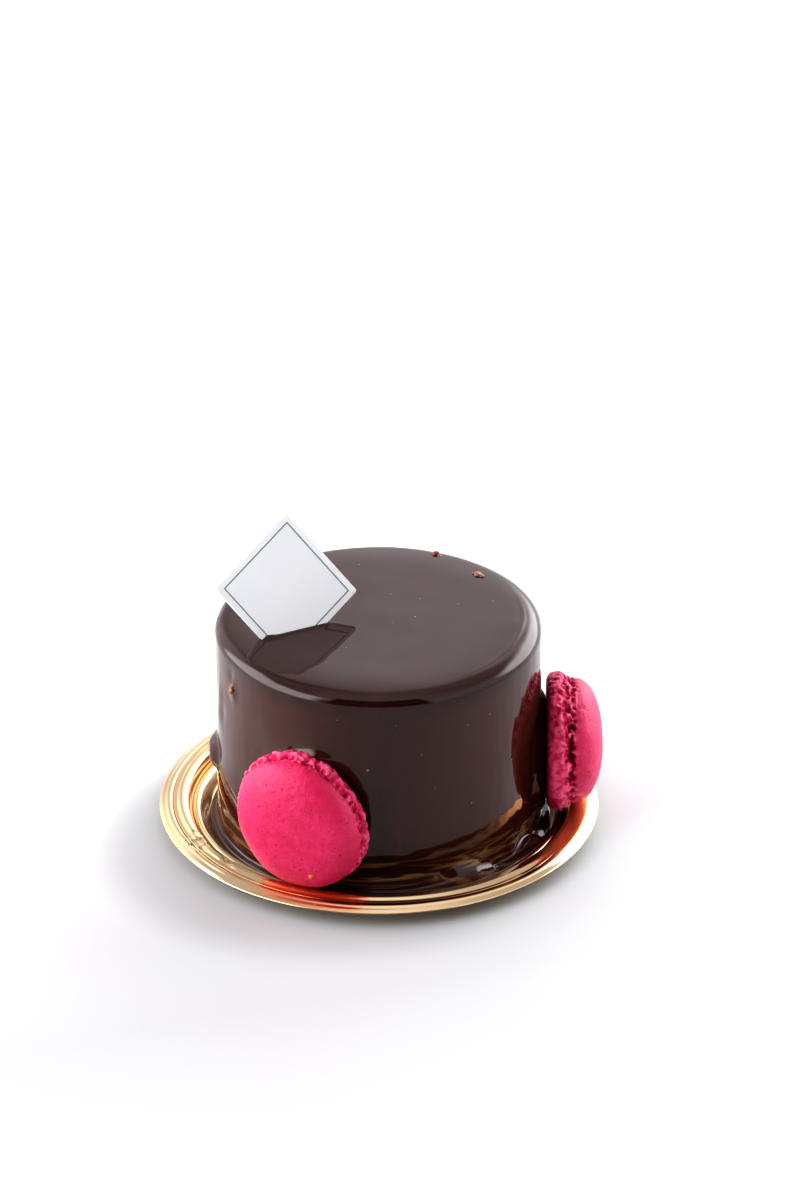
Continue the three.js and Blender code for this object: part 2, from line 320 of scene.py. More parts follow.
def gold_material():
    m, nt, b = material("gold_foil")
    tc = nt.nodes.new("ShaderNodeTexCoord").outputs["Object"]
    f = noise(nt, tc, 60, 3, 0.6)
    col = ramp(nt, f, [(0.3, (0.74, 0.555, 0.35)), (0.7, (0.78, 0.585, 0.38))])
    # painted shade: darker and more orange down in the folds
    flat = node(nt, "ShaderNodeVectorMath", operation="MULTIPLY"); flat.inputs[1].default_value = (1, 1, 0)
    nt.links.new(tc, flat.inputs[0])
    far = node(nt, "ShaderNodeVectorMath", operation="LENGTH"); nt.links.new(flat.outputs[0], far.inputs[0])
    span = node(nt, "ShaderNodeMapRange")
    span.inputs["From Min"].default_value = 0.037; span.inputs["From Max"].default_value = 0.050
    nt.links.new(far.outputs["Value"], span.inputs["Value"])
    at = lambda r: (r - 37.0) / 13.0
    W0, B1 = (0, 0, 0), (1, 1, 1)
    painted_fold_shade = ramp(nt, span.outputs[0], [(at(37.5), (0.5, 0.5, 0.5)), (at(38.6), (0.7, 0.7, 0.7)), (at(39.5), W0), (at(42.0), W0), (at(42.3), B1),
                                      (at(43.35), B1), (at(43.6), W0), (at(46.62), W0), (at(46.74), B1), (at(46.95), B1), (at(47.08), W0)])
    col = mixed(nt, painted_fold_shade, col, (0.44, 0.21, 0.08))
    # painted reflection: deeper orange where it mirrors the two shells; painted shade: brown under the right one
    painted_light_attr = nt.nodes.new("ShaderNodeAttribute"); painted_light_attr.attribute_name = "painted_shade_reflection"
    painted_light_parts = nt.nodes.new("ShaderNodeSeparateColor"); nt.links.new(painted_light_attr.outputs["Color"], painted_light_parts.inputs[0])
    deep = ramp(nt, span.outputs[0], [(at(42.8), B1), (at(44.6), W0)])
    col = mixed(nt, times(nt, painted_light_parts.outputs[1], 0.88), col, (0.86, 0.41, 0.165))
    col = mixed(nt, times(nt, painted_light_parts.outputs[2], 0.85), col, (0.74, 0.27, 0.085))
    col = mixed(nt, times(nt, times(nt, around(nt, tc, (0.0400, -0.0080, 0.003), 0.0060, 0.0125), deep), 0.9), col, (0.24, 0.060, 0.020))
    # painted shade: the groove inside the lip is deep brown at the front
    col = mixed(nt, painted_light_parts.outputs[0], col, (0.27, 0.115, 0.035))
    nt.links.new(col, b.inputs["Base Color"])
    b.inputs["Metallic"].default_value = 0.97
    rf = ramp(nt, noise(nt, tc, 900, 2, 0.6), [(0.35, (0.04, 0.04, 0.04)), (0.7, (0.09, 0.09, 0.09))])
    rf = mixed(nt, painted_light_parts.outputs[1], rf, (0.34, 0.34, 0.34))
    rf = mixed(nt, painted_light_parts.outputs[2], rf, (0.22, 0.22, 0.22))
    nt.links.new(rf, b.inputs["Roughness"])
    nt.links.new(bump_node(nt, noise(nt, tc, 500, 2, 0.5), 0.12, 0.00001), b.inputs["Normal"])
    return m


def macaron_material(name):
    m, nt, b = material(name)
    tc = nt.nodes.new("ShaderNodeTexCoord").outputs["Object"]
    f = noise(nt, tc, 420, 5, 0.7)
    col = ramp(nt, f, [(0.25, (0.65, 0.015, 0.108)), (0.5, (0.72, 0.023, 0.138)), (0.75, (0.79, 0.042, 0.19))])
    # slow blotches; painted highlight on the raised froth of the foot, painted shade in its crevices and along its back
    # edge
    blotch = ramp(nt, noise(nt, tc, 230, 4, 0.65), [(0.42, (0, 0, 0)), (0.60, (0.6, 0.6, 0.6))])
    col = mixed(nt, blotch, col, (0.58, 0.009, 0.080))
    froth_shading_attr = nt.nodes.new("ShaderNodeAttribute"); froth_shading_attr.attribute_name = "froth"
    froth_shading_parts = nt.nodes.new("ShaderNodeSeparateColor"); nt.links.new(froth_shading_attr.outputs["Color"], froth_shading_parts.inputs[0])
    col = mixed(nt, froth_shading_parts.outputs[1], col, (0.92, 0.125, 0.29))
    col = mixed(nt, froth_shading_parts.outputs[0], col, (0.38, 0.006, 0.038))
    # painted shade in the tiny pores
    pores = dots(nt, tc, 560, 0.125, 0.48)
    fine = dots(nt, tc, 1000, 0.15, 0.36)
    col = mixed(nt, fine, col, (0.28, 0.003, 0.026))
    col = mixed(nt, pores, col, (0.14, 0.0012, 0.010))
    col = mixed(nt, dots(nt, tc, 330, 0.045, 0.16), col, (0.90, 0.33, 0.40))
    nt.links.new(col, b.inputs["Base Color"])
    b.inputs["Roughness"].default_value = 0.43
    b.inputs["Specular IOR Level"].default_value = 0.5
    b.inputs["Subsurface Weight"].default_value = 0.08
    b.inputs["Subsurface Radius"].default_value = (0.0010, 0.0003, 0.0004)
    b.inputs["Subsurface Scale"].default_value = 1.0
    n1 = bump_node(nt, noise(nt, tc, 2600, 3, 0.6), 0.7, 0.00009)
    n2 = bump_node(nt, noise(nt, tc, 820, 4, 0.65), 0.85, 0.00030, n1)
    inv = node(nt, "ShaderNodeMath", operation="SUBTRACT"); inv.inputs[0].default_value = 1.0
    nt.links.new(pores, inv.inputs[1])
    nt.links.new(bump_node(nt, inv.outputs[0], 0.4, 0.00006, n2), b.inputs["Normal"])
    return m


def plaque_material():
    m, nt, b = material("plaque_white")
    tc = nt.nodes.new("ShaderNodeTexCoord").outputs["Object"]
    col = ramp(nt, noise(nt, tc, 70, 2, 0.5), [(0.3, (0.88, 0.895, 0.92)), (0.7, (0.91, 0.92, 0.94))])
    nt.links.new(col, b.inputs["Base Color"])
    rf = ramp(nt, noise(nt, tc, 200, 2, 0.5), [(0.3, (0.28, 0.28, 0.28)), (0.7, (0.34, 0.34, 0.34))])
    nt.links.new(rf, b.inputs["Roughness"])
    nt.links.new(bump_node(nt, noise(nt, tc, 300, 2, 0.5), 0.15, 0.00002), b.inputs["Normal"])
    return m


def plain_material(name, colour, rough, scale, spread=0.15, bump_size=0.00005):
    m, nt, b = material(name)
    tc = nt.nodes.new("ShaderNodeTexCoord").outputs["Object"]
    lo = tuple(c * (1 - spread) for c in colour); hi = tuple(min(1, c * (1 + spread)) for c in colour)
    nt.links.new(ramp(nt, noise(nt, tc, scale, 3, 0.6), [(0.3, lo), (0.7, hi)]), b.inputs["Base Color"])
    b.inputs["Roughness"].default_value = rough
    nt.links.new(bump_node(nt, noise(nt, tc, scale * 2, 3, 0.6), 0.4, bump_size), b.inputs["Normal"])
    return m


GLAZE = glaze_material()
GOLD = gold_material()
PINK = macaron_material("macaron_pink")
WHITE = plaque_material()
INK = plain_material("plaque_line", (0.24, 0.28, 0.32), 0.45, 400, 0.12, 0.000005)
NUT = plain_material("nut_crumb", (0.25, 0.095, 0.05), 0.25, 900, 0.45)
SPECK = plain_material("glaze_speck", (0.22, 0.15, 0.12), 0.15, 900, 0.3)
ORANGE = plain_material("orange_crumb", (0.93, 0.36, 0.04), 0.45, 900, 0.3)
DARK = plain_material("glaze_speck_dark", (0.02, 0.008, 0.006), 0.25, 900, 0.3)


# ------------------------------------------------------------------ tray
TRAY_TOP = [
    (36.0, 0.8), (37.7, 0.8), (38.3, 0.88), (38.8, 1.16), (39.3, 1.6), (39.8, 2.1), (40.3, 2.58), (40.75, 2.92), (41.15, 3.08),
    (41.6, 3.04), (41.98, 2.84), (42.3, 2.58), (42.6, 2.48), (42.85, 2.74), (43.1, 3.6), (43.4, 4.4), (43.8, 4.82), (44.4, 4.99),
    (45.0, 4.97), (45.35, 4.85), (45.9, 4.53), (46.2, 4.42), (46.45, 4.38), (46.68, 4.33), (46.8, 4.08), (46.92, 4.1), (47.05, 4.42),
    (47.3, 4.54), (47.65, 4.54), (47.95, 4.5), (48.25, 4.36), (48.55, 4.18), (48.8, 4.06), (49.05, 3.97), (49.35, 3.82), (49.65, 3.64),
    (49.85, 3.52), (49.94, 3.44), (49.98, 3.38),
]
TRAY_UNDER = [
    (49.96, 3.3), (49.85, 3.24), (49.4, 3.34), (48.4, 3.72), (47.6, 3.8), (46.85, 3.6), (45.9, 3.98), (44.7, 4.2),
    (43.9, 3.8), (43.4, 2.9), (42.7, 2.12), (41.5, 2.4), (40.7, 2.05), (39.9, 1.35), (39.4, 0.72), (38.9, 0.3),
    (38.2, 0.03), (37.6, 0.0),
]
tray_top = curve_through(TRAY_TOP, 138)


def tray_z(r):
    return np.interp(r, tray_top[:, 0], tray_top[:, 1])


def build_tray():
    N = 528
    under = curve_through(TRAY_UNDER, 32)
    prof = np.vstack([
        [[30, 0.0]], under[::-1], tray_top[::-1], [[30, 0.8], [15, 0.8]]])
    # from the underside's middle, out round the edge, and back over the top
    prof = np.vstack([[[12, 0.0], [25, 0.0]], prof[0:]])
    th = np.linspace(0, 2 * math.pi, N, endpoint=False)
    r = prof[:, 0][:, None] * np.ones(N)
    z = prof[:, 1][:, None] * np.ones(N)
    x, y = r * np.cos(th), r * np.sin(th)
    P = np.stack([x, y, z], -1)
    rim = smooth(40, 43, r)
    # the pressed rings are never quite true
    dz = 0.035 * waves(P * [1, 1, 0], 44, 301) * rim + 0.004 * waves(P * [1, 1, 0], 13, 302) * rim
    dr = 0.020 * waves(P * [1, 1, 0], 30, 303) * rim
    # a crumpled spot at the front left, across the second groove
    a0 = 206 * DEG
    da = wrap(th - a0)[None, :] * 46.0
    crease = bump(da, 3.1) * smooth(43.4, 44.4, r) * (1 - smooth(47.2, 48.4, r))
    dz += crease * (0.12 * waves(P * [1, 1, 0], 2.6, 304) + 0.08 * waves(P * [1, 1, 0], 4.8, 305))
    dz -= 0.35 * bump(wrap(th - 221 * DEG)[None, :] * 45.0, 1.5) * bump(r - 44.6, 0.9)
    a1 = -24 * DEG
    crease2 = bump(wrap(th - a1)[None, :] * 45.0, 2.5) * smooth(43.4, 44.2, r) * (1 - smooth(45.8, 46.6, r))
    dz += crease2 * 0.035 * waves(P * [1, 1, 0], 1.6, 306)
    # the raised ring lies a little further out at the front right, and is pressed flat towards the right
    dr += 0.62 * bump(wrap(th + 52 * DEG), 27 * DEG)[None] * smooth(43.8, 44.9, r) * (1 - smooth(47.6, 49.5, r))
    level = smooth(-46 * DEG, -30 * DEG, wrap(th)) * (1 - smooth(14 * DEG, 32 * DEG, wrap(th)))
    flat = np.interp(r, [44.4, 45.6, 46.6, 47.4, 48.0, 48.5, 49.1, 49.8], [4.99, 4.97, 4.93, 4.86, 4.66, 4.36, 4.02, 3.68])
    upper = (np.arange(len(prof)) > len(under) + 3)[:, None]
    dz += np.where(upper & (r > 44.4) & (r < 49.8), (flat - z) * level[None], 0)
    r2 = r + dr
    P = np.stack([r2 * np.cos(th), r2 * np.sin(th), np.maximum(0, z + dz * (z > 0.3))], -1)
    ob = grid_mesh("tray", P, (0, 0, 0), (0, 0, 0.8), GOLD)
    t = wrap(th)[None] * np.ones_like(r)
    rw = r + 0.07 * np.sin(9 * t + 0.6) + 0.04 * np.sin(23 * t)
    start = 46.28 + 0.27 * smooth(-80 * DEG, -60 * DEG, t)
    # painted shade: the groove inside the lip, darkened at the front
    g = (smooth(0.0, 0.22, rw - start) * (1 - smooth(47.95, 48.2, rw)) * smooth(-112 * DEG, -101 * DEG, t)
         * (1 - smooth(-46 * DEG, -36 * DEG, t)) * upper)
    # painted reflection: the rings turn orange beside the two shells, where they mirror them
    shell_reflection_right = (smooth(-46 * DEG, -31 * DEG, t) * (1 - smooth(16 * DEG, 30 * DEG, t)) * smooth(42.6, 43.7, rw) * (1 - smooth(47.5, 47.9, rw)) * upper)
    shell_reflection_front = (smooth(-129 * DEG, -119 * DEG, t) * (1 - smooth(-99 * DEG, -90 * DEG, t)) * smooth(43.3, 43.7, rw)
              * (1 - 0.55 * smooth(46.6, 47.0, rw)) * upper)
    g, shell_reflection_right, shell_reflection_front = (np.concatenate([v.reshape(-1), [0, 0]]) for v in (g, shell_reflection_right, shell_reflection_front))
    layer = ob.data.color_attributes.new("painted_shade_reflection", "FLOAT_COLOR", "POINT")
    layer.data.foreach_set("color", np.stack([g, shell_reflection_right, shell_reflection_front, np.ones(len(g))], 1).astype(np.float32).ravel())
    return ob


# ------------------------------------------------------------------ cake
def back_plane(m):
    a = m["azimuth"] * DEG
    return a, m["at"][2], (m["at"][0] - CX) * math.cos(a) + (m["at"][1] - CY) * math.sin(a)


BACKS = [back_plane(MAC_FRONT), back_plane(MAC_RIGHT)]


def wall_shape(th, z):
    """Radius of the glazed wall with everything that has run, sagged or been pressed on it."""
    x, y = R * np.cos(th), R * np.sin(th)
    P = np.stack([x, y, z], -1)
    r = R + 0.10 * np.sin(3 * th + 0.7) + 0.06 * np.sin(7 * th + z * 0.09)
    # faint runs down the wall
    r = r + 0.0075 * waves(P, 4.2, 41, stretch=(1, 1, 7)) + 0.02 * waves(P, 11, 42, stretch=(1, 1, 4))
    r = r + 0.013 * waves(P, 2.6, 43, stretch=(1, 1, 9)) * (0.25 + bump(wrap(th + 25 * DEG), 30 * DEG)) * (1 - 0.85 * smooth(40, 47.5, z))
    # the sagging hem, strongest at the front right
    low = np.exp(-np.clip(z - 3.0, 0, None) / 4.2)
    side = 0.25 + 1.0 * bump(wrap(th + 38 * DEG), 30 * DEG) + 0.35 * bump(wrap(th + 170 * DEG), 30 * DEG)
    r = r + low * side * (0.13 * waves(P, 6.0, 44, stretch=(1.8, 1.8, 0.8)) + 0.06 * waves(P, 3.4, 45, stretch=(2.2, 2.2, 0.9)))
    # drip hanging on the left
    da = wrap(th - 184 * DEG) * R
    s = np.sqrt((da / 4.6) ** 2 + ((z - 18.6) / 4.8) ** 2)
    r = r + 1.85 * (1 - smooth(0.35, 1.15, s))
    # small swellings and a dimple on the left
    for a, zz, w, hgt in ((-152.5, 41.8, 1.5, 0.45), (-153.6, 44.6, 1.2, -0.22), (-165, 36.5, 1.8, 0.22),
                          (-162, 33.5, 1.6, -0.16), (-167, 31.0, 2.2, 0.2), (-100, 21, 2.6, 0.03)):
        d = np.hypot(wrap(th - a * DEG) * R, (z - zz) * 0.62)
        r = r + hgt * bump(d, w)
    for (a, zc, d), near, far, down in ((BACKS[0], 3.5, 8.0, 1.0), (BACKS[1], 9.5, 13.0, 0.62)):
        da = wrap(th - a)
        ok = np.abs(da) < 0.7
        across, up = R * np.sin(da), z - zc
        rho = np.hypot(across, np.where(up < 0, up * down, up))
        w = np.where(ok, 1 - smooth(near, far, rho), 0) * smooth(1.5, 6.5, z)
        r = r + w * ((d - 0.12) / np.cos(np.clip(da, -0.7, 0.7)) - r)
    return r


def lip_round_shell(th, z, r):
    """Glaze pushed up into a soft ledge where the front shell was pressed on."""
    a, zc, d = BACKS[0]
    da = wrap(th - a)
    across, up = -R * np.sin(da), z - zc
    ang = np.arctan2(up, -across)
    rho = np.hypot(across, up)
    # a gentle swelling above the shell, ending in a narrow ledge just left of its top
    wide = smooth(54 * DEG, 94 * DEG, ang) * (1 - smooth(118 * DEG, 150 * DEG, ang))
    tight = smooth(70 * DEG, 92 * DEG, ang) * (1 - smooth(120 * DEG, 142 * DEG, ang))
    s = rho - 15.45
    swell = np.exp(-np.clip(s, 0, None) / 4.1) * (1 - smooth(8.5, 12.4, s))
    ledge = np.exp(-(np.clip(s, 0, None) / 0.85) ** 1.7)
    inside = np.clip(1 + s / 4.0, 0, 1)
    return r + np.where(np.abs(da) < 0.8, (1.35 * wide * swell + 0.6 * tight * ledge) * inside, 0)


def foot(th):
    """How far out, how deep and how high up the wall the run-out glaze reaches."""
    l1 = bump(wrap(th + 58 * DEG), 12 * DEG)
    l2 = bump(wrap(th + 27 * DEG), 9.5 * DEG)
    notch = bump(wrap(th + 44.5 * DEG), 2.4 * DEG)
    front = bump(wrap(th + 92 * DEG), 16 * DEG)
    out = 38.25 + 0.12 * np.sin(5 * th + 1.1) + 0.08 * np.sin(11 * th) + 2.6 * l1 + 2.3 * l2 - 1.4 * notch - 0.35 * front + 0.9 * bump(wrap(th + 8 * DEG), 14 * DEG)
    deep = 0.75 + 0.05 * np.sin(4 * th) + 1.3 * l1 + 0.75 * l2 + 0.45 * front
    under = smooth(-34 * DEG, -24 * DEG, wrap(th)) * (1 - smooth(14 * DEG, 30 * DEG, wrap(th)))
    rise = 1.1 + 0.15 * np.sin(3 * th + 0.4) + 3.0 * l1 + 1.0 * l2 + 0.6 * front - 0.55 * under
    return out, deep, rise


def build_cake():
    N = 416
    th = np.linspace(0, 2 * math.pi, N, endpoint=False)
    out, deep, rise = foot(th)
    zt = tray_z(out)
    zp = np.maximum(FLOOR + deep, zt + 0.12)          # level of the run-out glaze
    rings_r, rings_z = [], []

    def ring(r, z):
        rings_r.append(np.broadcast_to(r, (N,)).astype(float)); rings_z.append(np.broadcast_to(z, (N,)).astype(float))

    for r0 in (12, 26, 36):
        ring(np.full(N, float(r0)), 0.9)
    ring(out - 0.5, 0.9)
    e = 0.6
    for t in np.linspace(0, 1, 12):
        a = t * math.pi / 2
        ring(out - e * (1 - math.cos(a)), zt + 0.02 + (zp - zt - 0.02) * math.sin(a))
    w0 = wall_shape(th, zp + rise)
    af = np.minimum(np.clip(out - e - w0, 0.2, None), rise * 0.8 + 0.15)
    inner = w0 + af
    for t in np.linspace(0, 1, 9)[1:]:
        ring((out - e) + (inner - out + e) * t, zp + 0.03 * t)
    for t in np.linspace(0, 1, 24)[1:]:
        a = t * math.pi / 2
        z = zp + 0.03 + rise * (1 - math.cos(a))
        ring(wall_shape(th, z) + af * (1 - math.sin(a)), z)
    z0 = zp + 0.03 + rise
    for t in np.linspace(0, 1, 104)[1:]:
        z = z0 + (WALL_TOP - z0) * t ** 1.12
        ring(lip_round_shell(th, z, wall_shape(th, z)), z)
    r0 = wall_shape(th, np.full(N, WALL_TOP))
    for a in np.linspace(0, math.pi / 2 - ROLL, 32)[1:]:
        ring(r0 - EDGE + EDGE * math.cos(a), WALL_TOP + EDGE_UP * math.sin(a))
    for q in np.concatenate([np.linspace(ROLL_R, 26.5, 18)[1:], np.linspace(26.5, 1.0, 28)[1:]]):
        ring(q + (r0 - R) * smooth(20, ROLL_R, q), top_z(q))
    r = np.array(rings_r); z = np.array(rings_z)
    P = np.stack([CX + r * np.cos(th), CY + r * np.sin(th), z], -1)
    # slow unevenness of the top, and the small mound where the plaque goes in
    topmask = smooth(H - 1.2, H - 0.3, P[..., 2]) * (1 - smooth(ROLL_R, ROLL_R + 1.5, r))
    P[..., 2] += topmask * (0.018 * waves(P * [1, 1, 0], 24, 51) + 0.005 * waves(P * [1, 1, 0], 9, 52))
    # fine raised line where the flat of the top ends, on the right
    a = wrap(th + 16 * DEG)
    P[..., 2] += 0.10 * bump(a, 26 * DEG) * bump(r - (32.6 + 0.5 * np.sin(3 * th)), 0.34)
    u, v, n = plaque_axes()
    d = (P - np.array(PLAQUE["at"])) @ n
    along = (P - np.array(PLAQUE["at"])) @ np.array([math.cos(PLAQUE["azimuth"] * DEG), math.sin(PLAQUE["azimuth"] * DEG), 0])
    near = bump(np.maximum(np.abs(d + 0.4) - 0.4, 0), 0.8) * smooth(-8.6, -7.0, along) * (1 - smooth(7.4, 9.0, along))
    P[..., 2] += topmask * near * (0.22 + 0.4 * bump(along + 6.8, 1.6))
    return grid_mesh("cake", P, (CX, CY, 0.9), (CX, CY, H + 0.01), GLAZE)


# ------------------------------------------------------------------ macarons
def axes_of(m):
    a, e = m["azimuth"] * DEG, m["tilt"] * DEG
    n = np.array([math.cos(a) * math.cos(e), math.sin(a) * math.cos(e), math.sin(e)])
    u = np.cross([0, 0, 1.0], n); u /= np.linalg.norm(u)
    v = np.cross(n, u)
    return u, v, n


def build_macaron(name, m):
    N = 560
    p = np.linspace(0, 2 * math.pi, N, endpoint=False)
    T, F, E, D = m["foot_t"], m["foot"], m["edge"], m["dome"]
    sd = m["seed"]
    even = (1 + m["h2"][0] * np.cos(2 * p) + m["h2"][1] * np.sin(2 * p)
            + m["h3"][0] * np.cos(3 * p) + m["h3"][1] * np.sin(3 * p))
    gap_r = min(F - 0.85, E - 0.08)                    # floor of the crack between foot and shell
    rows = []                                          # height over the back, radius, froth, crack, dome

    for q in (0.25, 0.5, 0.75, 0.9, 0.97):
        rows.append((0.0, (F - 1.6) * q, 0, 0, 0))
    for q in np.linspace(0, 1, 14):
        a = q * math.pi / 2
        rows.append((0.27 * T * (1 - math.cos(a)), F - 1.6 + 1.62 * math.sin(a), 0.25 + 0.75 * q, 0, 0))
    for q in np.linspace(0.27, 0.68, 24)[1:]:
        rows.append((q * T, F + 0.02 + 0.20 * math.sin(math.pi * (q - 0.27) / 0.41) - 0.50 * float(smooth(0.44, 0.68, q)),
                     1, float(smooth(0.52, 0.68, q)), 0))
    r1 = rows[-1][1]
    for q in np.linspace(0.68, 0.93, 20)[1:]:
        k = float(smooth(0.68, 0.79, q))
        rows.append((q * T, r1 + (gap_r - r1) * k, 1, 1, 0))
    r2 = rows[-1][1]
    for q in np.linspace(0, 1, 9)[1:]:
        a = q * math.pi / 2
        rows.append((0.93 * T + 0.05 * T * (1 - math.cos(a)), r2 + (E + 0.1 - r2) * math.sin(a), 1 - 0.75 * q, 1 - q, 0.25 * q))
    t0, r3 = rows[-1][0], rows[-1][1]
    top = T + D
    for q in np.linspace(0, 1, 66)[1:]:
        g = q ** 1.3
        # upright at its edge, then round, then flat
        rows.append((t0 + (top - t0) * (1 - (1 - g) ** 2.3) ** 0.5, max(r3 * (1 - g), 0.05),
                     0.25 * max(0, 1 - q * 9), 0, min(1, 0.25 + q * 9)))
    rt, rr, froth, crack, dome = np.array(rows, float).T
    one = np.ones(N)
    Tt = rt[:, None] * one
    Rr = rr[:, None] * even[None]
    c, s_ = np.cos(p), np.sin(p)
    L = np.stack([Rr * c, Rr * s_, Tt], -1)            # local: back at 0, dome towards +
    rim = np.stack([F * c, F * s_, 0 * p], -1)
    rng = np.random.default_rng(sd)
    # the crack wanders up and down, and the shell's edge with it
    wander = 0.30 * waves(rim, 9, sd + 1) + 0.20 * waves(rim, 3.2, sd + 2)
    L[..., 2] += np.clip(crack, 0, 1)[:, None] * wander[None] * 0.8
    L[..., 2] += (dome * np.exp(-np.clip(rt - t0, 0, None) / 0.7))[:, None] * wander[None] * 0.35
    S = L.copy()
    K, C = froth[:, None], crack[:, None]
    disp = K * (0.16 * waves(S, 5.0, sd + 3) + 0.20 * waves(S, 2.3, sd + 4, stretch=(1, 1, 1.6)))
    # frilled folds hanging across the crack
    disp += C * (0.50 * waves(S, 1.9, sd + 5, stretch=(1, 1, 2.8)) + 0.30 * waves(S, 1.0, sd + 6, stretch=(1, 1, 1.6)))
    part = np.where(froth > 0)[0]
    Q = S[part].copy()
    Q[..., :2] *= (F / np.maximum(1.0, rr[part]))[:, None, None]
    # baked froth: lumps of two sizes with seams between them, some open bubbles
    for count, depth, open_, seam in ((int(17 * F * T / 15), m["lump"], 0.14, m["lump"] + 0.07), (int(100 * F * T / 15), 0.17, 0.28, 0.22)):
        a = rng.uniform(0, 2 * math.pi, count); t = rng.uniform(-0.2, T + 0.4, count)
        seeds = np.stack([F * np.cos(a), F * np.sin(a), t], -1)
        d1, d2, who = nearest(Q, seeds)
        cell = math.sqrt(2 * math.pi * F * (T + 0.6) / count)
        lump = 1 - np.clip(d1 / cell, 0, 1) ** 2
        sign = np.where(rng.uniform(size=count)[who] < open_, -1.4, 0.8)
        gap = np.exp(-((d2 - d1) / (0.20 * cell)) ** 2)
        lump = (depth * sign * lump).reshape(len(part), N)
        gap = (seam * gap).reshape(len(part), N)
        disp[part] += K[part] * (lump - gap * (0.35 + 0.65 * C[part]))
    # holes torn open along the crack
    n_pits = int(2 * math.pi * F / 2.1)
    pa = (np.arange(n_pits) + rng.uniform(-0.35, 0.35, n_pits)) / n_pits * 2 * math.pi
    for a in pa:
        deep, wide, high = rng.uniform(0.15, 1.3), rng.uniform(0.35, 0.95), rng.uniform(0.22, 0.45)
        tc = T * 0.84 + np.interp(a, p, wander) * 0.8 + rng.uniform(-0.25, 0.25)
        da = wrap(p - a) * F
        near = np.abs(da) < 3.2
        disp[:, near] -= (deep * np.exp(-(da[near] / wide) ** 2)[None]
                          * np.exp(-((L[:, near, 2] - tc) / high) ** 2)) * np.clip(K * 1.4, 0, 1)
    disp = np.where(disp > 0.22, 0.22 + 0.35 * (disp - 0.22), disp)
    # how far below the froth's outside a point lies, which sets the painted shade in the crevices
    hull = np.maximum(F, E) * np.ones(len(rt)); depth_in = hull[:, None] - (rr[:, None] + disp)
    sunk = np.clip((depth_in - 0.75) / 1.45, 0, 1) * np.clip(K * 1.3, 0, 1)
    # painted shade along the back edge, where the shell sits against the wall
    sunk = np.maximum(sunk, 0.7 * np.clip(1 - Tt / 1.7, 0, 1))
    rad = np.stack([c, s_, 0 * p], -1)[None] * np.ones((len(rt), 1, 1))
    g = np.clip((Tt - t0) / (top - t0), 0, 1)[..., None]
    nrm = rad * np.sqrt(1 - g ** 2) + np.array([0, 0, 1.0]) * g
    slow = 0.05 * waves(L, 12, sd + 7) + 0.012 * waves(L, 3.2, sd + 8) + 0.006 * waves(L, 1.1, sd + 9)
    L = L + rad * disp[..., None] + nrm * (dome[:, None] * slow)[..., None]
    L[..., 2] = np.maximum(L[..., 2], 0)
    u, v, n = axes_of(m)
    P = np.array(m["at"]) + L[..., :1] * u + L[..., 1:2] * v + L[..., 2:] * n
    lo = np.array(m["at"]); hi = np.array(m["at"]) + n * (L[-1, :, 2].mean() + 0.002)
    ob = grid_mesh(name, P, lo, hi, PINK)
    # painted highlight on the raised lumps of the froth
    lump_highlight = np.clip((disp + 0.05) / 0.42, 0, 1) * K * np.ones((1, N))
    value = np.concatenate([sunk.reshape(-1), [0, 0]]); light = np.concatenate([lump_highlight.reshape(-1), [0, 0]])
    layer = ob.data.color_attributes.new("froth", "FLOAT_COLOR", "POINT")
    layer.data.foreach_set("color", np.stack([value, light, value, np.ones(len(value))], 1).astype(np.float32).ravel())
    return ob


# ------------------------------------------------------------------ plaque
def plaque_axes():
    a, e, r = PLAQUE["azimuth"] * DEG, PLAQUE["lean"] * DEG, PLAQUE["roll"] * DEG
    level = np.array([math.cos(a), math.sin(a), 0])
    n = np.array([math.sin(a) * math.cos(e), -math.cos(a) * math.cos(e), math.sin(e)])
    up = np.cross(n, level)
    return level * math.cos(r) + up * math.sin(r), -level * math.sin(r) + up * math.cos(r), n


def round_square(h, c, steps=10):
    pts = []
    for cx_, cy_, a0 in ((h - c, -h + c, -90), (h - c, h - c, 0), (-h + c, h - c, 90), (-h + c, -h + c, 180)):
        for k in range(steps + 1):
            a = (a0 + 90 * k / steps) * DEG
            pts.append((cx_ + c * math.cos(a), cy_ + c * math.sin(a)))
    return np.array(pts)


def on_plaque(xy, w):
    """Plane coordinates of the plaque, standing on its corner, to the row frame."""
    u, v, n = plaque_axes()
    k = math.sqrt(0.5)
    x, y = (xy[:, 0] - xy[:, 1]) * k, (xy[:, 0] + xy[:, 1]) * k
    return np.array(PLAQUE["at"]) + x[:, None] * u + y[:, None] * v + np.asarray(w)[..., None] * n


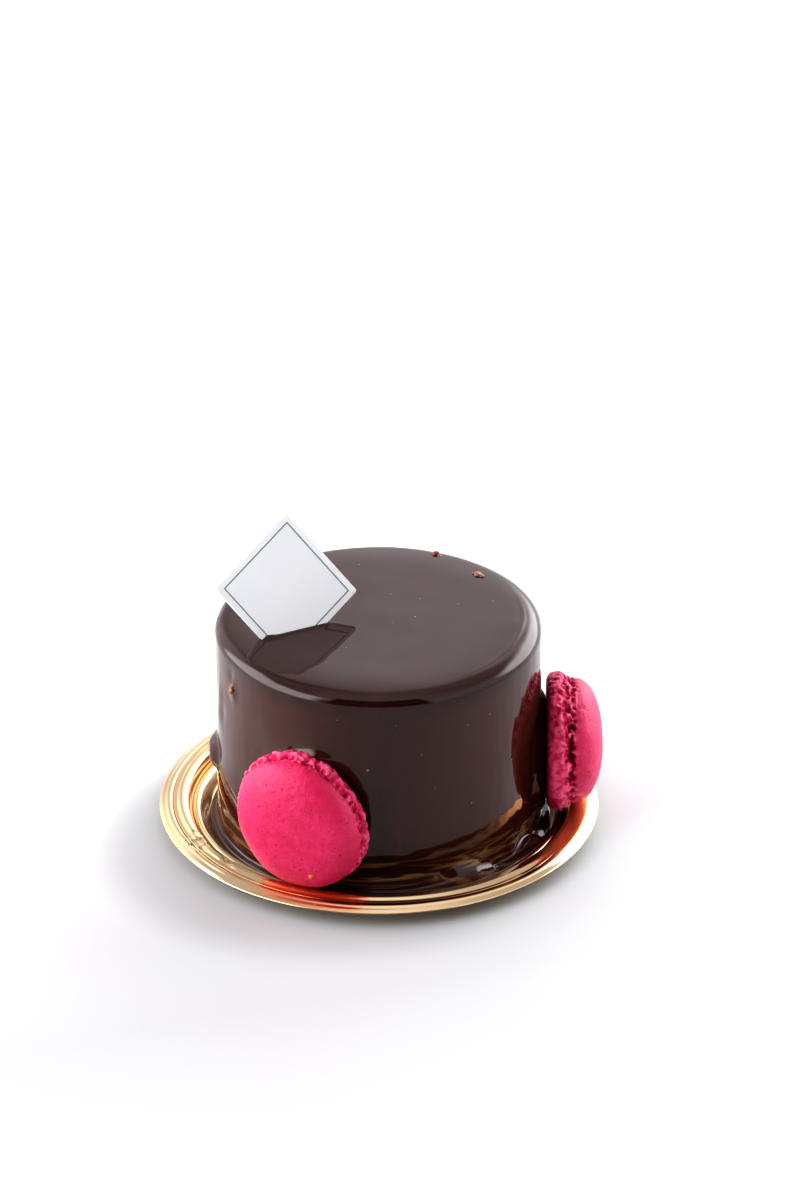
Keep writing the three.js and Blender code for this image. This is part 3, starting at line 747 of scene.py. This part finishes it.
def build_plaque():
    h, c, t, b = PLAQUE["side"] / 2, PLAQUE["corner"], PLAQUE["t"], 0.12
    rings = []
    for k in range(5):
        a = k / 4 * math.pi / 2
        rings.append((b * (1 - math.sin(a)), -t + b * (1 - math.cos(a))))
    rings = [(b * (1 - math.sin(k / 4 * math.pi / 2)), -t + b * (1 - math.cos(k / 4 * math.pi / 2))) for k in range(5)]
    rings += [(b * (1 - math.cos(k / 4 * math.pi / 2)), -b + b * math.sin(k / 4 * math.pi / 2)) for k in range(5)]
    P = []
    for inset, w in rings:
        xy = round_square(h - inset, c - inset * 0.5)
        # a hand-cut sheet isn't quite flat
        bend = 0.05 * (xy[:, 0] ** 2 - xy[:, 1] ** 2) / h ** 2
        P.append(on_plaque(xy, w + bend))
    P = np.array(P)
    inner = []
    for f in (0.8, 0.55, 0.3):
        xy = round_square(h - b, c) * f
        inner.append(on_plaque(xy, 0.05 * (xy[:, 0] ** 2 - xy[:, 1] ** 2) / h ** 2))
    back = []
    for f in (0.3, 0.55, 0.8):
        xy = round_square(h - b, c) * f
        back.append(on_plaque(xy, -t + 0.05 * (xy[:, 0] ** 2 - xy[:, 1] ** 2) / h ** 2))
    P = np.concatenate([np.array(back), P, np.array(inner)])
    _, _, n = plaque_axes()
    at = np.array(PLAQUE["at"])
    plaque = grid_mesh("plaque_sheet", P, at - n * t, at, WHITE)
    # fine printed border, a hair proud of the sheet
    V, F = [], []
    w, inset = 0.32, 1.40
    for k, (d, z) in enumerate(((inset, 0.004), (inset, 0.014), (inset + w, 0.014), (inset + w, 0.004))):
        xy = round_square(h - d, 0.12, 4)
        V.append(on_plaque(xy, z + 0.05 * (xy[:, 0] ** 2 - xy[:, 1] ** 2) / h ** 2))
    V = np.array(V)
    n_ = V.shape[1]
    for k in range(4):
        for i in range(n_):
            a, b2 = k * n_ + i, k * n_ + (i + 1) % n_
            c2, d2 = ((k + 1) % 4) * n_ + (i + 1) % n_, ((k + 1) % 4) * n_ + i
            F.append((a, b2, c2, d2))
    border = raw_mesh("plaque_border", V.reshape(-1, 3), F, INK, False)
    return plaque, border


# ------------------------------------------------------------------ crumbs and specks
def blob(centre, normal, size, seed, flat=0.6, rough=0.25, steps=(9, 14)):
    """One small irregular lump, half sunk where it sits."""
    K, N = steps
    a = np.linspace(0, math.pi, K + 2)[1:-1]
    b = np.linspace(0, 2 * math.pi, N, endpoint=False)
    D = np.stack([np.sin(a)[:, None] * np.cos(b), np.sin(a)[:, None] * np.sin(b), -np.cos(a)[:, None] * np.ones(N)], -1)
    w = 1 + rough * waves(D * 1.0, 2.2, seed) * 0.5 + rough * waves(D, 1.1, seed + 1) * 0.25
    rng = np.random.default_rng(seed)
    sx, sy = rng.uniform(0.75, 1.25), rng.uniform(0.75, 1.25)
    L = D * w[..., None] * np.array([sx, sy, flat]) * size
    n = np.array(normal, float); n /= np.linalg.norm(n)
    u = np.cross(n, [0.3, 0.2, 0.93]); u /= np.linalg.norm(u)
    v = np.cross(n, u)
    P = np.array(centre) + L[..., :1] * u + L[..., 1:2] * v + L[..., 2:] * n
    lo = np.array(centre) - n * size * flat; hi = np.array(centre) + n * size * flat
    verts = np.concatenate([P.reshape(-1, 3), [lo], [hi]])
    faces = []
    for k in range(K - 1):
        for i in range(N):
            j = (i + 1) % N
            faces.append((k * N + i, k * N + j, (k + 1) * N + j, (k + 1) * N + i))
    for i in range(N):
        j = (i + 1) % N
        faces.append((K * N, j, i)); faces.append(((K - 1) * N + i, (K - 1) * N + j, K * N + 1))
    return verts, faces


def join(name, blobs, mat):
    V, F, o = [], [], 0
    for v, f in blobs:
        V.append(v); F += [tuple(i + o for i in g) for g in f]; o += len(v)
    return raw_mesh(name, np.concatenate(V), F, mat)


def on_wall(a, z, sink=0.0):
    t = np.array([a * DEG]); r = float(wall_shape(t, np.array([z]))[0]) - sink
    return (CX + r * math.cos(a * DEG), CY + r * math.sin(a * DEG), z), (math.cos(a * DEG), math.sin(a * DEG), 0)


def on_top(r, a, sink=0.0):
    z = float(top_z(r)); g = (float(top_z(r - 0.05)) - float(top_z(r + 0.05))) / 0.1
    n = (math.cos(a * DEG) * g, math.sin(a * DEG) * g, 1.0)
    return (CX + r * math.cos(a * DEG), CY + r * math.sin(a * DEG), z - sink), n


def build_crumbs():
    nuts, specks, dark = [], [], []
    for r, a, s in ((33.3, 66.7, 0.92), (32.6, 64.4, 0.6), (30.1, 41.6, 0.95), (30.5, 39.2, 0.72), (29.6, 43.5, 0.5)):
        c, n = on_top(r, a, 0.1); nuts.append(blob(c, n, s, int(r * 10 + a), 0.65, 0.4))
    for a, z, s in ((-152.9, 41.8, 1.15), (-152.2, 43.2, 0.6), (118.0, 33.0, 0.6), (95.0, 20.0, 0.5), (150.0, 40.0, 0.45)):
        c, n = on_wall(a, z, 0.15); nuts.append(blob(c, n, s, int(abs(a) * 10 + z), 0.6, 0.4))
    for r, a, s in ((10.99, 74.7, 0.13), (12.5, 41.1, 0.16), (8.25, -1.4, 0.17), (18.9, 18.0, 0.15), (26.8, 15.6, 0.15),
                    (4.45, -42.0, 0.10), (16.15, -116.3, 0.16), (21, 130, 0.14), (25, 100, 0.15), (14, 160, 0.12)):
        c, n = on_top(r, a, 0.02); specks.append(blob(c, n, 1.35 * s, int(r * 7 + abs(a)), 0.4, 0.2, (6, 10)))
    for a, z, s in ((-93.6, 32.8, 0.27), (-116.9, 44.8, 0.26), (-104.4, 44.9, 0.3), (-47.6, 41.6, 0.2), (-57.3, 40.9, 0.18),
                    (-35.6, 26.5, 0.3), (-55.5, 20.6, 0.22), (-75, 36, 0.12), (-70, 27, 0.1), (30, 30, 0.2), (70, 36, 0.25),
                    (110, 25, 0.2), (160, 35, 0.22), (-140, 30, 0.14), (-84, 44, 0.1)):
        c, n = on_wall(a, z, 0.05 * s); specks.append(blob(c, n, s, int(abs(a) * 5 + z), 0.28, 0.25, (6, 12)))
    for a, z, s in ((-29.3, 40.2, 0.2), (-28.4, 38.2, 0.17), (-27.6, 38.0, 0.15), (-29.8, 36.8, 0.1)):
        c, n = on_wall(a, z, 0.0); dark.append(blob(c, n, s, int(abs(a) * 11 + z), 0.5, 0.3, (6, 10)))
    # a crumb of candied peel stuck low on the front shell
    u, v, n = axes_of(MAC_FRONT)
    c = np.array(MAC_FRONT["at"]) + 4.82 * u - 10.02 * v + 8.89 * n
    out = 0.45 * u * 0.4 - 0.45 * v + n * 0.8
    peel = [blob(c, out, 0.72, 71, 0.5, 0.5, (7, 12)), blob(c + 0.62 * u + 0.3 * v, out, 0.42, 72, 0.6, 0.5, (7, 12))]
    return (join("nut_crumbs", nuts, NUT), join("glaze_bubbles", specks, SPECK), join("dark_crumbs", dark, DARK),
            join("orange_crumb", peel, ORANGE))


# ------------------------------------------------------------------ put together
tray = build_tray()
cake = build_cake()
mac_f = build_macaron("macaron_shell_front", MAC_FRONT)
mac_r = build_macaron("macaron_shell_right", MAC_RIGHT)
plaque, border = build_plaque()
nuts, specks, dark, peel = build_crumbs()

for piece, slot in ((tray, "gold_foil"), (cake, "chocolate_glaze"), (mac_f, "macaron_pink"), (mac_r, "macaron_pink"),
                    (plaque, "plaque_white"), (border, "plaque_white"), (nuts, "nut_crumb"), (specks, "nut_crumb"),
                    (dark, "nut_crumb"), (peel, "nut_crumb")):
    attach(piece, "root")
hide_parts("foil_tray")
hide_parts("glazed_cake")
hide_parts("macaron_front")
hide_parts("macaron_right")
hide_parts("plaque")

# ------------------------------------------------------------------ floor
fl, nt, b = material("floor_white")
b.inputs["Base Color"].default_value = (0.62, 0.622, 0.628, 1)
b.inputs["Roughness"].default_value = 0.5
b.inputs["Specular IOR Level"].default_value = 0.25
tc = nt.nodes.new("ShaderNodeTexCoord").outputs["Object"]
# painted shade: the floor darker towards the front and right, lighter behind and to the left
lie = node(nt, "ShaderNodeVectorMath", operation="DOT_PRODUCT"); lie.inputs[1].default_value = (-0.30, 0.93, 0.0)
nt.links.new(tc, lie.inputs[0])
span = node(nt, "ShaderNodeMapRange"); span.inputs["From Min"].default_value = -0.07; span.inputs["From Max"].default_value = 0.06
nt.links.new(lie.outputs["Value"], span.inputs["Value"])
floor_painted_light = ramp(nt, span.outputs[0], [(0.0, (0.575, 0.578, 0.584)), (1.0, (0.87, 0.872, 0.876))])
# painted light: paler floor to the right of the tray, the second patch also cancelling the pink bounce from the right
# shell
floor_painted_light = mixed(nt, times(nt, around(nt, tc, (0.078, -0.030, 0.0), 0.010, 0.078), 0.40), floor_painted_light, (0.80, 0.83, 0.825))
floor_painted_light = mixed(nt, times(nt, around(nt, tc, (0.056, -0.002, 0.0), 0.004, 0.040), 0.55), floor_painted_light, (0.78, 0.90, 0.885))
# painted shade at the front left, with the warm bounce from the gold taken out
floor_painted_light = mixed(nt, times(nt, around(nt, tc, (-0.030, -0.055, 0.0), 0.002, 0.034), 0.30), floor_painted_light, (0.52, 0.62, 0.61))
# painted shadow under the tray's front edge
floor_painted_light = mixed(nt, times(nt, around(nt, tc, (-0.012, -0.012, 0.0), 0.042, 0.058), 0.60), floor_painted_light, (0.42, 0.43, 0.43))
nt.links.new(floor_painted_light, b.inputs["Base Color"])
ang = np.linspace(0, 2 * math.pi, 96, endpoint=False)
fr = np.array([200.0, 1200.0, 4000.0])
FP = np.stack([fr[:, None] * np.cos(ang), fr[:, None] * np.sin(ang), np.full((3, 96), -0.02)], -1)
floor = grid_mesh("floor", FP[::1], (0, 0, -0.02), None, fl)

# ------------------------------------------------------------------ light
world = bpy.data.worlds.new("studio")
bpy.context.scene.world = world
world.use_nodes = True
wt = world.node_tree
for n_ in list(wt.nodes):
    wt.nodes.remove(n_)
W = wt.nodes.new
tcw = W("ShaderNodeTexCoord")
sepw = W("ShaderNodeSeparateXYZ"); wt.links.new(tcw.outputs["Generated"], sepw.inputs[0])


def wmath(op, a, b=None, c=None):
    n = W("ShaderNodeMath"); n.operation = op
    for k, v in enumerate((a, b, c)):
        if v is None:
            continue
        if isinstance(v, (int, float)):
            n.inputs[k].default_value = v
        else:
            wt.links.new(v, n.inputs[k])
    return n.outputs[0]


def wsmooth(x, lo, hi, out_lo=0.0, out_hi=1.0):
    n = W("ShaderNodeMapRange"); n.interpolation_type = "SMOOTHSTEP"
    wt.links.new(x, n.inputs["Value"])
    n.inputs["From Min"].default_value = lo; n.inputs["From Max"].default_value = hi
    n.inputs["To Min"].default_value = out_lo; n.inputs["To Max"].default_value = out_hi
    return n.outputs[0]


X_, Y_, Z_ = sepw.outputs
side = wmath("MULTIPLY", wmath("ARCTAN2", X_, wmath("MULTIPLY", Y_, -1.0)), 180 / math.pi)   # 0 front, 90 right, -90 left
turn = wmath("ABSOLUTE", side)
elev = wmath("MULTIPLY", wmath("ARCSINE", Z_), 180 / math.pi)


def window(x, lo, hi, edge):
    return wmath("MULTIPLY", wsmooth(x, lo - edge, lo + edge), wsmooth(x, hi - edge, hi + edge, 1, 0))


# the unlit gap in front, where the view is taken from
gap = wmath("MULTIPLY", wsmooth(turn, 34, 41, 1, 0), window(elev, -1, 60, 3))
# big soft boxes: front left, and behind on the right
left_box = wmath("MULTIPLY", window(side, -125, -44, 6), window(elev, 3, 47, 4))
da = wmath("DIVIDE", wmath("SUBTRACT", side, 132.0), 40.0)
de = wmath("DIVIDE", wmath("SUBTRACT", elev, 22.0), 20.0)
right_box = wsmooth(wmath("ADD", wmath("MULTIPLY", da, da), wmath("MULTIPLY", de, de)), 0.35, 1.25, 1, 0)
back = wsmooth(turn, 75, 135)
level = wmath("ADD", 1.0, wmath("MULTIPLY", back, 0.20))
# the backdrop ends, and the ceiling over it is dimmer behind than overhead and in front
dim = wmath("MULTIPLY", wsmooth(elev, 34, 47), wmath("SUBTRACT", 1.0, wmath("MULTIPLY", wsmooth(elev, 66, 82), 0.35)))
dim = wmath("MULTIPLY", dim, wmath("ADD", 0.20, wmath("MULTIPLY", wsmooth(turn, 60, 110), 0.34)))
level = wmath("MULTIPLY", level, wmath("SUBTRACT", 1.0, dim))
# less light behind on the left
corner = wmath("MULTIPLY", window(side, -175, -153, 7), window(elev, 4, 56, 8))
level = wmath("MULTIPLY", level, wmath("SUBTRACT", 1.0, wmath("MULTIPLY", corner, 0.45)))
level = wmath("MULTIPLY", level, wmath("SUBTRACT", 1.0, wmath("MULTIPLY", gap, 0.97)))
level = wmath("ADD", level, wmath("MULTIPLY", left_box, 2.9))
level = wmath("ADD", level, wmath("MULTIPLY", right_box, 3.3))
bg = W("ShaderNodeBackground"); bg.inputs["Color"].default_value = (1.0, 0.993, 1.015, 1)
wt.links.new(level, bg.inputs["Strength"])
wo = W("ShaderNodeOutputWorld"); wt.links.new(bg.outputs[0], wo.inputs["Surface"])

# ------------------------------------------------------------------ camera
cam_d = bpy.data.cameras.new("camera")
cam = bpy.data.objects.new("camera", cam_d)
bpy.context.scene.collection.objects.link(cam)
cam_d.sensor_width = 36.0
cam_d.sensor_fit = "AUTO"
cam_d.lens = 6612.0 * 36.0 / 1198.0
cam_d.clip_start, cam_d.clip_end = 0.05, 20
cam.location = (0, -1.30016, 0.76358)
cam.rotation_euler = (math.pi / 2 - 0.49868, 0, -0.00368)
bpy.context.scene.camera = cam

view = bpy.context.scene.view_settings
view.view_transform = "Standard"
view.look = "High Contrast"

bpy.context.view_layer.update()
